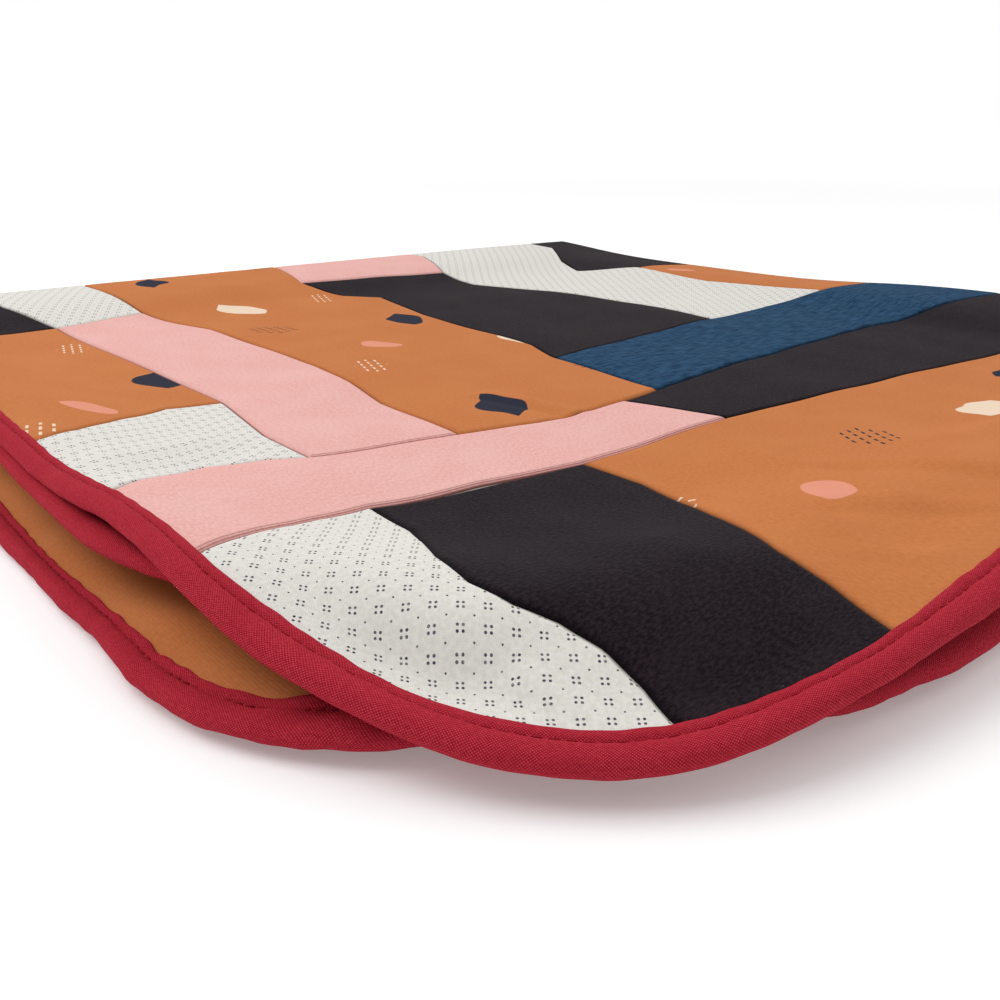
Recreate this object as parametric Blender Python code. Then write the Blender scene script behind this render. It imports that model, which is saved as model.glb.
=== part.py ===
"""A patchwork baby blanket, folded twice into a square pile of four layers, its four round corners together.

Metres, +Z up. +X runs along one open side of the pile and +Y along the other, away from the open corner.
"""

import math

import bpy
import numpy as np

# The open blanket
SIDE = 1.00
CORNER_RADIUS = 0.110
CLOTH_THICKNESS = 0.0026
BINDING_WIDTH = 0.0110
BINDING_THICKNESS = 0.0050
BINDING_WALL = 0.0040
SEAT_GAP = 0.0003

# The binding's outer side, from its inner lip to its outer edge: shares of its width in from the edge, and of
# its half thickness out from the cloth's middle
BINDING_SIDE = (
    {"in_from_edge": 1.00, "out_from_middle": 0.92},
    {"in_from_edge": 0.55, "out_from_middle": 1.00},
    {"in_from_edge": 0.22, "out_from_middle": 0.90},
    {"in_from_edge": 0.02, "out_from_middle": 0.42},
)

# The folded pile, in coordinates A (along X) and B (along Y) from its open corner
FOLD_PITCH = 0.0060
LAYER_GAP = 0.0009
EDGE_GAP = 0.0013
EDGE_GAP_REACH = 0.026
THICK_MARGIN = 0.002
OVERHANG = 0.001
FOLD_A = SIDE / 2 - math.pi * FOLD_PITCH / 2
FOLD_B = SIDE / 2 - math.pi * FOLD_PITCH / 4
FOLD_ZONE = 0.085
FOLD_STRAIGHT = 0.020
CORNER_PULL_A = 0.050
CORNER_PULL_B = 0.024
CORNER_PULL_REACH = 0.030

# How far each layer has slipped at the open corner, from the bottom layer to the top one.
# along_a and along_b move its edges, and corner_pull draws its round corner in.
# reach and blur say how stiffly it drapes
LAYERS = (
    {"along_a": 0.009, "along_b": -0.005, "corner_pull": 0.005, "reach": 0.004, "blur": 0.004},
    {"along_a": -0.006, "along_b": -0.013, "corner_pull": 0.016, "reach": 0.004, "blur": 0.005},
    {"along_a": 0.003, "along_b": 0.030, "corner_pull": 0.004, "reach": 0.007, "blur": 0.006},
    {"along_a": 0.005, "along_b": -0.014, "corner_pull": -0.0055, "reach": 0.007, "blur": 0.008},
)

# Swells of the pile. Each is a soft ridge of a height, at a place, lying along a heading in degrees from A,
# with a half length and a half width, and it lifts the layers from the one named up
SWELLS = (
    {"from": 2, "height": 0.0075, "a": 0.005, "b": 0.190, "heading": 90, "length": 0.145, "width": 0.040},
    {"from": 2, "height": 0.0065, "a": 0.250, "b": 0.000, "heading": 0, "length": 0.145, "width": 0.045},
)

# Lines of the cloth's grid: distances in from the binding's outer edge, then the rings in the binding
LINE_INSETS = (0.088, 0.067, 0.048, 0.033, 0.021)
CLOTH_RINGS = (0.0110, 0.0047)
FOLD_LINES = 3
OPEN_LINES = 10
FIRST_OPEN_LINE = 0.010

CLOTH_COLOUR = (0.60, 0.29, 0.11)
BINDING_COLOUR = (0.50, 0.025, 0.05)

# The grid on which the layers settle
GRID_STEP = 0.004
GRID_START = -0.040
GRID_COUNT = 140
SLOPE_STEP = 0.0003


def smoothstep(x):
    x = np.clip(x, 0.0, 1.0)
    return x * x * (3.0 - 2.0 * x)


def slide(layer, a, b):
    """How far a point of a layer has slipped in the pile, along A and along B."""
    row = LAYERS[layer]
    fade = (1.0 - np.clip(a / FOLD_A, 0.0, 1.0) ** 2) * (1.0 - np.clip(b / FOLD_B, 0.0, 1.0) ** 2)
    near = np.exp(-((a - CORNER_PULL_A) ** 2 + (b - CORNER_PULL_B) ** 2) / (2.0 * CORNER_PULL_REACH**2))
    pull = row["corner_pull"] * near * math.sqrt(0.5)
    return row["along_a"] * fade + pull, row["along_b"] * fade + pull


def inside_edge(layer, a, b):
    """Distance from a place in the pile to a layer's outer edge, positive on the cloth."""
    slide_a, slide_b = slide(layer, a, b)
    a = a - slide_a
    b = b - slide_b
    round_part = CORNER_RADIUS - np.hypot(CORNER_RADIUS - a, CORNER_RADIUS - b)
    in_corner = (a < CORNER_RADIUS) & (b < CORNER_RADIUS)
    return np.where(in_corner, round_part, np.minimum(a, b))


def spread(field, reach, blur):
    """The field's highest values within reach, then blurred: cloth bridges what it can't follow."""
    steps = round(reach / GRID_STEP)
    for axis in (0, 1):
        field = np.max([np.roll(field, s, axis) for s in range(-steps, steps + 1)], axis=0)
    span = math.ceil(3.0 * blur / GRID_STEP)
    weights = np.exp(-0.5 * (np.arange(-span, span + 1) * GRID_STEP / blur) ** 2)
    weights /= weights.sum()
    for axis in (0, 1):
        padded = np.pad(field, [(span, span) if axis == i else (0, 0) for i in (0, 1)], mode="edge")
        size = field.shape[axis]
        field = sum(w * padded.take(range(i, i + size), axis) for i, w in enumerate(weights))
    return field


def swell(row, a, b):
    turn = math.radians(row["heading"])
    along = (a - row["a"]) * math.cos(turn) + (b - row["b"]) * math.sin(turn)
    across = (b - row["b"]) * math.cos(turn) - (a - row["a"]) * math.sin(turn)
    return row["height"] * np.exp(-((along / row["length"]) ** 4) - (across / row["width"]) ** 2)


def settled_layers():
    """Heights of the four mid-surfaces over the grid, each layer laid on those under it."""
    ticks = GRID_START + GRID_STEP * np.arange(GRID_COUNT)
    a, b = np.meshgrid(ticks, ticks, indexing="ij")
    to_fold = np.minimum(FOLD_A - a, FOLD_B - b)
    at_fold = smoothstep((FOLD_ZONE - to_fold) / (FOLD_ZONE - FOLD_STRAIGHT))
    heights = []
    tops = []
    edges = []
    for layer, row in enumerate(LAYERS):
        edge = inside_edge(layer, a, b)
        edges.append(edge)
        nearest = np.min(np.abs(edges), axis=0)
        gap = LAYER_GAP + (EDGE_GAP - LAYER_GAP) * smoothstep(2.0 - nearest / EDGE_GAP_REACH)
        half = np.where(edge < BINDING_WIDTH + THICK_MARGIN, BINDING_THICKNESS, CLOTH_THICKNESS) / 2.0
        need = half
        for top in tops:
            need = np.maximum(need, top + gap + half)
        height = spread(need, row["reach"], row["blur"])
        lowest = heights[0] if heights else height
        folded = lowest + layer * FOLD_PITCH
        height = height + (folded - height) * at_fold
        heights.append(height)
        tops.append(np.where(edge > -OVERHANG, height + half, 0.0))
    for layer in range(len(LAYERS)):
        for row in SWELLS:
            if layer >= row["from"]:
                heights[layer] = heights[layer] + swell(row, a, b)
    return np.array(heights)


HEIGHTS = settled_layers()


def height_at(a, b, level):
    """Height at a place and a level, 0 in the bottom layer to 3 in the top one, by cubic splines."""
    found = 0.0
    x = (a - GRID_START) / GRID_STEP
    y = (b - GRID_START) / GRID_STEP
    column = np.clip(np.floor(x).astype(int), 1, GRID_COUNT - 3)
    rank = np.clip(np.floor(y).astype(int), 1, GRID_COUNT - 3)
    lower = np.clip(np.floor(level).astype(int), 0, 2)
    part = level - lower
    for i, weight_x in enumerate(spline_weights(x - column)):
        for j, weight_y in enumerate(spline_weights(y - rank)):
            under = HEIGHTS[lower, column + i - 1, rank + j - 1]
            over = HEIGHTS[lower + 1, column + i - 1, rank + j - 1]
            found = found + weight_x * weight_y * (under * (1.0 - part) + over * part)
    return found


def spline_weights(f):
    return (
        (1.0 - f) ** 3 / 6.0,
        (3.0 * f**3 - 6.0 * f**2 + 4.0) / 6.0,
        (-3.0 * f**3 + 3.0 * f**2 + 3.0 * f + 1.0) / 6.0,
        f**3 / 6.0,
    )


def middle(u, v):
    """Where the open blanket's point (u, v) lies in the pile. u and v run from -SIDE/2 to SIDE/2."""
    half_pitch = FOLD_PITCH / 2.0
    first_turn = np.clip(v / half_pitch, -math.pi / 2, math.pi / 2)
    b = FOLD_B + half_pitch * np.cos(first_turn) - np.maximum(np.abs(v) - half_pitch * math.pi / 2, 0.0)
    above = -half_pitch * np.sin(first_turn)
    last_turn = np.clip(u / FOLD_PITCH, -math.pi / 2, math.pi / 2)
    radius = FOLD_PITCH + above
    a = FOLD_A + radius * np.cos(last_turn) - np.maximum(np.abs(u) - FOLD_PITCH * math.pi / 2, 0.0)
    level = 1.5 - radius * np.sin(last_turn) / FOLD_PITCH
    slides = [slide(layer, a, b) for layer in range(4)]
    lower = np.clip(np.floor(level).astype(int), 0, 2)
    part = level - lower
    slide_a = np.choose(lower, [s[0] for s in slides]) * (1 - part)
    slide_a = slide_a + np.choose(lower + 1, [s[0] for s in slides]) * part
    slide_b = np.choose(lower, [s[1] for s in slides]) * (1 - part)
    slide_b = slide_b + np.choose(lower + 1, [s[1] for s in slides]) * part
    a = a + slide_a
    b = b + slide_b
    return np.stack([a, b, height_at(a, b, np.clip(level, 0.0, 3.0))], axis=-1)


def place(u, v, out):
    """A point at a distance out from the cloth's middle, on its patchwork side where out is positive."""
    along_u = middle(u + SLOPE_STEP, v) - middle(u - SLOPE_STEP, v)
    along_v = middle(u, v + SLOPE_STEP) - middle(u, v - SLOPE_STEP)
    normal = np.cross(along_u, along_v)
    normal /= np.linalg.norm(normal, axis=-1, keepdims=True)
    return middle(u, v) + normal * np.asarray(out)[..., None]


def grid_lines(arc):
    """Places of the cloth's grid lines from its middle to its edge: close at a fold and near the binding."""
    near_fold = [arc * i / FOLD_LINES for i in range(FOLD_LINES + 1)]
    open_part = list(np.linspace(arc + FIRST_OPEN_LINE, SIDE / 2 - CORNER_RADIUS, OPEN_LINES))
    half = near_fold + open_part + [SIDE / 2 - inset for inset in LINE_INSETS]
    return np.array([-x for x in reversed(half[1:])] + half)


def rounded(p, q, inset):
    """The grid's point (p, q) drawn in at the round corners, and the way out from the corner's centre."""
    centre = SIDE / 2 - CORNER_RADIUS
    radius = CORNER_RADIUS - inset
    x = np.clip((np.abs(p) - centre) / radius, 0.0, 1.0)
    y = np.clip((np.abs(q) - centre) / radius, 0.0, 1.0)
    along_x = x * np.sqrt(1.0 - y * y / 2.0)
    along_y = y * np.sqrt(1.0 - x * x / 2.0)
    u = np.where(x > 0, centre + radius * along_x, np.abs(p))
    v = np.where(y > 0, centre + radius * along_y, np.abs(q))
    return np.sign(p) * u, np.sign(q) * v, np.sign(p) * along_x, np.sign(q) * along_y


def edge_walk(count):
    """Grid indices of the points round the edge of a grid, anticlockwise."""
    last = count - 1
    walk = [(i, 0) for i in range(last)]
    walk += [(last, j) for j in range(last)]
    walk += [(last - i, last) for i in range(last)]
    walk += [(0, last - j) for j in range(last)]
    return walk


def open_grid():
    """Flat coordinates of the cloth's grid, and the way out at each point of its edge."""
    lines_u = grid_lines(math.pi * FOLD_PITCH / 2)
    lines_v = grid_lines(math.pi * FOLD_PITCH / 4)
    p, q = np.meshgrid(lines_u, lines_v, indexing="ij")
    return rounded(p, q, LINE_INSETS[-1])


def make_object(name, points, faces, colour, roughness):
    mesh = bpy.data.meshes.new(name)
    mesh.from_pydata([tuple(point) for point in points], [], faces)
    mesh.validate()
    material = bpy.data.materials.new(name)
    material.use_nodes = True
    shader = material.node_tree.nodes["Principled BSDF"]
    shader.inputs["Base Color"].default_value = (*colour, 1.0)
    shader.inputs["Roughness"].default_value = roughness
    mesh.materials.append(material)
    mesh.shade_smooth()
    made = bpy.data.objects.new(name, mesh)
    bpy.context.scene.collection.objects.link(made)
    return made


def cloth_mesh():
    """The patchwork cloth with both its faces, whose outermost ring lies inside the binding."""
    u, v, out_u, out_v = open_grid()
    count = u.shape[0]
    walk = edge_walk(count)
    rows = [w[0] for w in walk]
    columns = [w[1] for w in walk]
    flat_u = [u.ravel()]
    flat_v = [v.ravel()]
    for inset in CLOTH_RINGS:
        reach = LINE_INSETS[-1] - inset
        flat_u.append(u[rows, columns] + reach * out_u[rows, columns])
        flat_v.append(v[rows, columns] + reach * out_v[rows, columns])
    flat_u = np.concatenate(flat_u)
    flat_v = np.concatenate(flat_v)
    upper = place(flat_u, flat_v, np.full(flat_u.shape, CLOTH_THICKNESS / 2))
    lower = place(flat_u, flat_v, np.full(flat_u.shape, -CLOTH_THICKNESS / 2))
    sheet = []
    for i in range(count - 1):
        for j in range(count - 1):
            first = i * count + j
            sheet.append((first, first + count, first + count + 1, first + 1))
    ring = [i * count + j for i, j in walk]
    stations = len(ring)
    for number in range(len(CLOTH_RINGS)):
        begin = count * count + number * stations
        outer = list(range(begin, begin + stations))
        for k in range(stations):
            after = (k + 1) % stations
            sheet.append((ring[k], outer[k], outer[after]))
            sheet.append((ring[k], outer[after], ring[after]))
        ring = outer
    total = len(flat_u)
    faces = list(sheet)
    faces += [tuple(total + index for index in reversed(face)) for face in sheet]
    for k in range(stations):
        after = (k + 1) % stations
        faces.append((ring[k], total + ring[k], total + ring[after], ring[after]))
    return np.concatenate([upper, lower]), faces


def binding_mesh():
    """The binding: one folded band that holds the cloth's edge all the way round."""
    u, v, out_u, out_v = open_grid()
    walk = edge_walk(u.shape[0])
    rows = [w[0] for w in walk]
    columns = [w[1] for w in walk]
    half_slot = CLOTH_THICKNESS / 2 + SEAT_GAP
    half_top = BINDING_THICKNESS / 2
    outside = [
        (row["in_from_edge"] * BINDING_WIDTH, row["out_from_middle"] * half_top) for row in BINDING_SIDE
    ]
    profile = list(outside)
    profile += [(inset, -height) for inset, height in reversed(outside)]
    profile += [(BINDING_WIDTH, -half_slot), (BINDING_WALL, -half_slot)]
    profile += [(BINDING_WALL, half_slot), (BINDING_WIDTH, half_slot)]
    rings = []
    for inset, height in profile:
        reach = LINE_INSETS[-1] - inset
        ring_u = u[rows, columns] + reach * out_u[rows, columns]
        ring_v = v[rows, columns] + reach * out_v[rows, columns]
        rings.append(place(ring_u, ring_v, np.full(ring_u.shape, height)))
    stations = len(walk)
    sides = len(profile)
    faces = []
    for side in range(sides):
        beside = (side + 1) % sides
        from_side = profile[side][0] >= profile[beside][0]
        for k in range(stations):
            after = (k + 1) % stations
            here, there = side * stations + k, beside * stations + k
            here_after, there_after = side * stations + after, beside * stations + after
            if from_side:
                faces += [(here, there, there_after), (here, there_after, here_after)]
            else:
                faces += [(here, there, here_after), (there, there_after, here_after)]
    return np.concatenate(rings), faces


def main():
    for old in list(bpy.data.objects):
        bpy.data.objects.remove(old)
    cloth_points, cloth_faces = cloth_mesh()
    binding_points, binding_faces = binding_mesh()
    both = np.concatenate([cloth_points, binding_points])
    middle_of_box = (both.min(axis=0) + both.max(axis=0)) / 2
    origin = np.array([middle_of_box[0], middle_of_box[1], both[:, 2].min()])
    make_object("blanket_cloth", cloth_points - origin, cloth_faces, CLOTH_COLOUR, 0.9)
    make_object("edge_binding", binding_points - origin, binding_faces, BINDING_COLOUR, 0.85)


main()
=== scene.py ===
"""The looks of a patchwork baby blanket with a crimson knit binding, folded into a pile of four layers.

Metres. Flat places on the open blanket are A and B, measured from its near round corner, and in the pile
the same letters run along +X and +Y.
"""

import math

import bpy
import numpy as np
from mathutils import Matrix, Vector


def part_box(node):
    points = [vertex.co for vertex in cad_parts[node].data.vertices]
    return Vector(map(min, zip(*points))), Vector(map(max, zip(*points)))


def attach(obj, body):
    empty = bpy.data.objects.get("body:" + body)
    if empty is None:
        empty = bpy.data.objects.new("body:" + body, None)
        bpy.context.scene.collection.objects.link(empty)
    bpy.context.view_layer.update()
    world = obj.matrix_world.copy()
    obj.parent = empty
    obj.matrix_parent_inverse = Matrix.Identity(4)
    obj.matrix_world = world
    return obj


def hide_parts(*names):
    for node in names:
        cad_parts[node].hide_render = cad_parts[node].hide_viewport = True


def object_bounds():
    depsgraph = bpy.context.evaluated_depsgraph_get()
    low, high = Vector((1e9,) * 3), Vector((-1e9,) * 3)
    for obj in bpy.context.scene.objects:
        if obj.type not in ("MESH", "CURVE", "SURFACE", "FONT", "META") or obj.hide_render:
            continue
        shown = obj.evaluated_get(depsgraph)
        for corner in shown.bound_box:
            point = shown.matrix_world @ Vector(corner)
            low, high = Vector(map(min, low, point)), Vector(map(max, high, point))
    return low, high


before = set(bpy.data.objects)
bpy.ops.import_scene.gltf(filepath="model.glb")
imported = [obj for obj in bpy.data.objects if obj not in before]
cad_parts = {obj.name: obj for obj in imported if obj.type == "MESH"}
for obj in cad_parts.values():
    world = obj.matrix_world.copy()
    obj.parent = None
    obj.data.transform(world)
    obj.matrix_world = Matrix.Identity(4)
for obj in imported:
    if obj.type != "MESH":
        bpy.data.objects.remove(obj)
CAD_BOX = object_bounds()


def table(columns, *rows):
    """The rows as dictionaries, with the columns' names as keys."""
    return tuple(dict(zip(columns.split(), row)) for row in rows)


# The open blanket, as in the part's source
SIDE = 1.00
CORNER_RADIUS = 0.110
CLOTH_THICKNESS = 0.0026
BINDING_WIDTH = 0.0110
BINDING_THICKNESS = 0.0050

# The folded pile, as in the part's source
FOLD_PITCH = 0.0060
LAYER_GAP = 0.0009
EDGE_GAP = 0.0013
EDGE_GAP_REACH = 0.026
THICK_MARGIN = 0.002
OVERHANG = 0.001
FOLD_A = SIDE / 2 - math.pi * FOLD_PITCH / 2
FOLD_B = SIDE / 2 - math.pi * FOLD_PITCH / 4
FOLD_ZONE = 0.085
FOLD_STRAIGHT = 0.020
CORNER_PULL_A = 0.050
CORNER_PULL_B = 0.024
CORNER_PULL_REACH = 0.030
LAYERS = table(
    "along_a along_b corner_pull reach blur",
    (0.009, -0.005, 0.005, 0.004, 0.004),
    (-0.006, -0.013, 0.016, 0.004, 0.005),
    (0.003, 0.030, 0.004, 0.007, 0.006),
    (0.005, -0.014, -0.0055, 0.007, 0.008),
)

# Loose bulges of the upper layers, as in the part's source, and then where one layer lies lower than there
SWELLS = table(
    "levels height a b heading length width",
    ((2, 3), 0.0075, 0.005, 0.190, 90, 0.145, 0.040),
    ((2, 3), 0.0065, 0.250, 0.000, 0, 0.145, 0.045),
    ((3,), -0.0049, 0.002, 0.220, 90, 0.078, 0.030),
    ((2,), -0.0025, 0.002, 0.190, 90, 0.090, 0.030),
    ((1,), -0.0030, 0.003, 0.190, 90, 0.085, 0.007),
)

# Where the far fold is pressed flatter, as a share of the steps between layers, and the least step left
LEAST_STEP = 0.0034
PRESSED = {"height": -0.38, "a": 0.515, "b": 0.345, "heading": 90, "length": 0.130, "width": 0.075}

GRID_STEP = 0.004
GRID_START = -0.040
GRID_COUNT = 140
SLOPE_STEP = 0.0003

# Soft creases of the top layer, in flat centimetres: a ridge is up, a trough is down
CREASES = table(
    "a b height width",
    ((2.2, 2.7), (10.0, 6.6), -0.0006, 0.007),
    ((2.7, 3.8), (6.6, 4.9), -0.0007, 0.006),
    ((1.2, 1.7), (9.6, 6.4), 0.0006, 0.006),
    ((5.6, 3.2), (5.0, 5.4), -0.0004, 0.004),
    ((5.9, 4.0), (6.0, 6.3), 0.0007, 0.006),
    ((4.5, 4.8), (4.6, 3.2), 0.0006, 0.0035),
    ((4.0, 4.3), (4.4, 3.4), -0.0005, 0.003),
    ((0.8, 5.0), (17.9, 20.2), 0.0009, 0.006),
    ((1.6, 6.0), (16.6, 19.0), -0.0006, 0.005),
    ((15.8, 16.6), (19.4, 15.6), 0.0009, 0.0035),
    ((15.2, 15.9), (19.2, 15.8), -0.0006, 0.003),
    ((16.9, 18.6), (7.2, 2.6), -0.0006, 0.0045),
    ((17.7, 19.4), (7.0, 2.6), 0.0006, 0.005),
    ((13.9, 16.2), (4.4, 1.6), -0.0006, 0.004),
    ((14.6, 16.9), (4.8, 1.9), 0.0006, 0.005),
    ((12.2, 13.4), (3.0, 1.5), 0.0006, 0.003),
    ((13.6, 12.9), (7.6, 3.0), 0.0005, 0.0035),
    ((14.3, 13.4), (7.4, 3.0), -0.0004, 0.0040),
    ((17.4, 15.6), (8.4, 3.4), 0.0005, 0.0050),
    ((18.3, 16.4), (8.2, 3.2), -0.0005, 0.0050),
    ((9.0, 10.4), (8.6, 2.6), 0.0008, 0.012),
    ((20.8, 27.0), (6.0, 3.8), 0.0007, 0.006),
)
RELIEF_START = 0.004
RELIEF_FADE = 0.014
RELIEF_END = 0.46
RELIEF_END_FADE = 0.05
UNDULATION = 0.00035
UNDULATION_WAVES = 7
UNDULATION_LENGTH = 0.055
UNDULATION_RANGE = (0.55, 1.7)

# Broad sags and humps of the top layer, its edge included, in flat centimetres
SAGS = table(
    "a b height heading length width",
    (2.3, 5.2, -0.0020, -58, 0.020, 0.017),
    (2.1, 7.4, -0.0018, -68, 0.024, 0.010),
    (7.8, 1.9, -0.0010, -8, 0.022, 0.009),
    (10.6, 1.6, -0.0008, 0, 0.020, 0.009),
    (1.5, 12.4, -0.0009, 90, 0.022, 0.010),
)
HOLLOW_DEPTH = 0.0029
HOLLOW_INSET = 0.0150
HOLLOW_WIDTH = 0.0095
HOLLOW_A = 0.045
HOLLOW_B = 0.040
HOLLOW_REACH = 0.050

# Where the binding is narrower: in from its inner lip and in from its outer edge, in millimetres
TRIMS = table(
    "a b reach inner outer",
    (4.5, 3.5, 5.0, 1.3, 0.0),
    (5.2, 1.8, 2.8, 0.0, 1.1),
    (11.5, 0.3, 4.0, 1.4, 0.2),
    (19.0, 0.0, 4.5, 0.5, 0.6),
    (0.0, 20.0, 6.0, 2.9, 0.3),
    (0.6, 11.5, 3.5, 0.3, 2.2),
    (99.8, 90.5, 4.3, 0.0, 2.4),
    (97.8, 95.6, 2.6, -1.6, 1.4),
    (96.2, 97.4, 1.7, 0.0, -1.4),
    (99.8, 85.0, 3.5, 0.6, 1.6),
    (100.0, 78.0, 7.0, 2.6, 0.2),
    (90.4, 100.0, 2.6, 0.0, 1.9),
    (9.3, 0.2, 2.4, 0.0, 1.7),
)
BAND_SHARE = 0.89

# Wrinkles of the binding at the round corner of the third layer, by distance round the edge
WRINKLE_DEPTH = 0.00100
WRINKLE_CENTRE = 0.27
WRINKLE_REACH = 0.030
WRINKLE_LENGTH = 0.0175
WRINKLE_LEAN = 0.016
WRINKLE_BEAT = 2.1


def patch(fabric, lift, turn, *rails, ridge=""):
    """A patch between rails, which are lines of points from one end of it to the other, in flat centimetres.

    lift is how far its cloth stands over its neighbours', in millimetres, and turn its grain's heading.
    """
    return {"fabric": fabric, "lift": lift, "turn": turn, "rails": rails, "ridge": ridge}


# Seams that patches share, in flat centimetres
WHITE_TO_CHARCOAL = (
    (5.7, 0.0), (5.8, 2.5), (6.0, 3.35), (6.0, 4.3), (5.75, 5.2), (5.2, 6.0), (4.97, 7.0), (5.2, 8.4),
    (5.8, 9.7), (6.2, 10.8), (6.35, 12.8),
)
CHARCOAL_TO_RUST = (
    (9.9, 0.0), (10.4, 1.4), (10.8, 2.7), (11.05, 4.1), (11.7, 5.6), (12.5, 7.3), (13.1, 9.6), (13.1, 11.9),
)
RUST_TO_WHITE = ((46.0, 0.0), (46.0, 9.8))
WHITE_TO_PINK = ((7.2, 17.2), (7.2, 20.0), (7.8, 23.5), (7.95, 24.5))
RUST_TO_PINK = ((7.95, 24.5), (7.9, 30.0), (7.7, 41.4))
FAR_LEFT = ((7.7, 41.4), (6.5, 45.6), (6.3, 50.0), (6.3, 60.0))
PINK_TO_RUST = ((12.1, 16.4), (12.3, 21.0), (12.9, 24.0), (13.3, 27.0), (13.3, 36.5), (12.2, 42.2))
WHITE_TO_RUST = ((12.2, 42.2), (11.9, 49.0), (11.9, 60.0))
CHARCOAL_TO_BLUE = ((21.3, 16.1), (28.6, 16.6), (38.4, 17.0), (43.3, 15.9), (50.0, 14.9), (60.0, 14.9))
RUST_TO_CHARCOAL = (
    (21.9, 22.2), (22.8, 24.5), (23.1, 28.3), (23.5, 33.3), (25.0, 39.4), (23.3, 40.8), (22.5, 44.1),
)
RUST_TO_FAR_PINK = ((22.5, 44.1), (23.8, 49.0), (23.8, 60.0))
CHARCOAL_TO_WHITE = ((34.4, 23.3), (34.8, 28.7), (34.1, 34.6), (32.1, 39.7), (32.3, 43.1))
PINK_TO_WHITE = ((32.3, 43.1), (34.4, 48.0), (34.4, 60.0))
WHITE_TO_FAR_RUST = ((44.0, 22.8), (42.9, 30.0), (43.9, 36.6))
WHITE_TO_FAR_CHARCOAL = ((43.9, 36.6), (41.0, 39.4), (42.5, 42.6), (45.8, 47.0), (45.8, 60.0))

PATCHES = (
    # Along the front edge, from the left
    patch(
        "white", 0.15, -38,
        ((0.0, 0.0), (0.0, 10.3)), ((2.2, 0.0), (2.2, 11.2)), ((4.2, 0.0), (4.45, 12.3)), WHITE_TO_CHARCOAL,
    ),
    patch("charcoal", 0.0, 92, WHITE_TO_CHARCOAL, CHARCOAL_TO_RUST),
    patch(
        "rust", 0.2, 0,
        CHARCOAL_TO_RUST, ((19.8, 0.0), (20.3, 12.2)), ((30.2, 0.0), (30.2, 11.1)),
        ((37.4, 0.0), (37.4, 10.2)), RUST_TO_WHITE,
    ),
    patch("white", 0.1, 0, RUST_TO_WHITE, ((60.0, 0.0), (60.0, 9.4))),
    # Behind them
    patch(
        "pink", 0.35, 4,
        ((0.0, 10.3), (2.2, 11.2), (4.45, 12.3), (6.35, 12.8), (9.7, 12.55), (13.1, 11.9), (20.3, 12.2)),
        (
            (0.0, 14.5), (2.0, 15.9), (4.0, 17.5), (5.9, 17.6), (7.2, 17.2), (12.1, 16.4), (14.7, 15.7),
            (16.3, 15.5), (18.9, 15.65),
        ),
        ridge="first",
    ),
    patch(
        "charcoal", 0.1, 0,
        ((20.3, 12.2), (30.2, 11.1), (37.4, 10.2), (46.0, 9.8), (60.0, 9.4)),
        ((18.9, 15.65), *CHARCOAL_TO_BLUE),
    ),
    # Along the left edge
    patch(
        "white", 0.1, -60,
        ((0.0, 14.5), (0.0, 20.2)), ((2.0, 15.9), (2.0, 21.3)), ((4.0, 17.5), (4.0, 23.3)),
        ((5.9, 17.6), (5.9, 24.6)), WHITE_TO_PINK,
    ),
    patch("pink", 0.35, 90, WHITE_TO_PINK + RUST_TO_PINK[1:], PINK_TO_RUST, ridge="start"),
    patch(
        "rust", 0.2, 94,
        ((0.0, 20.2), (0.0, 40.2)), ((2.0, 21.3), (2.0, 40.51)), ((4.0, 23.3), (4.0, 40.82)),
        ((5.9, 24.6), (5.9, 41.12)), RUST_TO_PINK,
    ),
    patch("charcoal", 0.0, 90, ((0.0, 40.2), (0.0, 60.0)), FAR_LEFT),
    patch("white", 0.1, -30, FAR_LEFT, WHITE_TO_RUST),
    # The middle and the far side
    patch(
        "rust", 0.5, 90,
        PINK_TO_RUST + WHITE_TO_RUST[1:], ((14.7, 15.7), (14.7, 60.0)), ((16.3, 15.5), (16.3, 60.0)),
        ((18.9, 15.65), (19.0, 60.0)), CHARCOAL_TO_BLUE[:1] + RUST_TO_CHARCOAL + RUST_TO_FAR_PINK[1:],
    ),
    patch(
        "blue", 0.5, 0,
        CHARCOAL_TO_BLUE, ((21.9, 22.2), (34.4, 23.3), (39.3, 23.5), (44.0, 22.8), (60.0, 22.6)),
    ),
    patch("charcoal", 0.1, 90, RUST_TO_CHARCOAL, CHARCOAL_TO_WHITE),
    patch("pink", 0.4, 90, RUST_TO_FAR_PINK, PINK_TO_WHITE),
    patch(
        "white", 0.3, -36,
        CHARCOAL_TO_WHITE + PINK_TO_WHITE[1:], WHITE_TO_FAR_RUST + WHITE_TO_FAR_CHARCOAL[1:],
    ),
    patch("charcoal", 0.1, 90, WHITE_TO_FAR_CHARCOAL, ((60.0, 36.5), (60.0, 60.0))),
    patch("rust", 0.2, 90, WHITE_TO_FAR_RUST, ((60.0, 22.6), (60.0, 36.5))),
)

# Straight patches of the layers that the pile hides or nearly hides, in flat centimetres
BLOCKS = table(
    "fabric a b",
    ("charcoal", (60, 78), (0, 12)),
    ("rust", (60, 78), (12, 30)),
    ("pink", (60, 78), (30, 60)),
    ("pink", (78, 100), (0, 9)),
    ("white", (78, 100), (9, 26)),
    ("charcoal", (78, 100), (26, 60)),
    ("pink", (0, 20), (60, 78)),
    ("charcoal", (20, 42), (60, 74)),
    ("blue", (42, 60), (60, 80)),
    ("white", (0, 20), (78, 100)),
    ("rust", (20, 42), (74, 100)),
    ("pink", (42, 60), (80, 100)),
    ("white", (60, 78), (60, 72)),
    ("charcoal", (60, 78), (72, 88)),
    ("pink", (78, 87), (60, 88)),
    ("white", (60, 87), (88, 100)),
    ("rust", (87, 100), (60, 100)),
)
CENTIMETRE = 0.01
MILLIMETRE = 0.001

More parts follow.
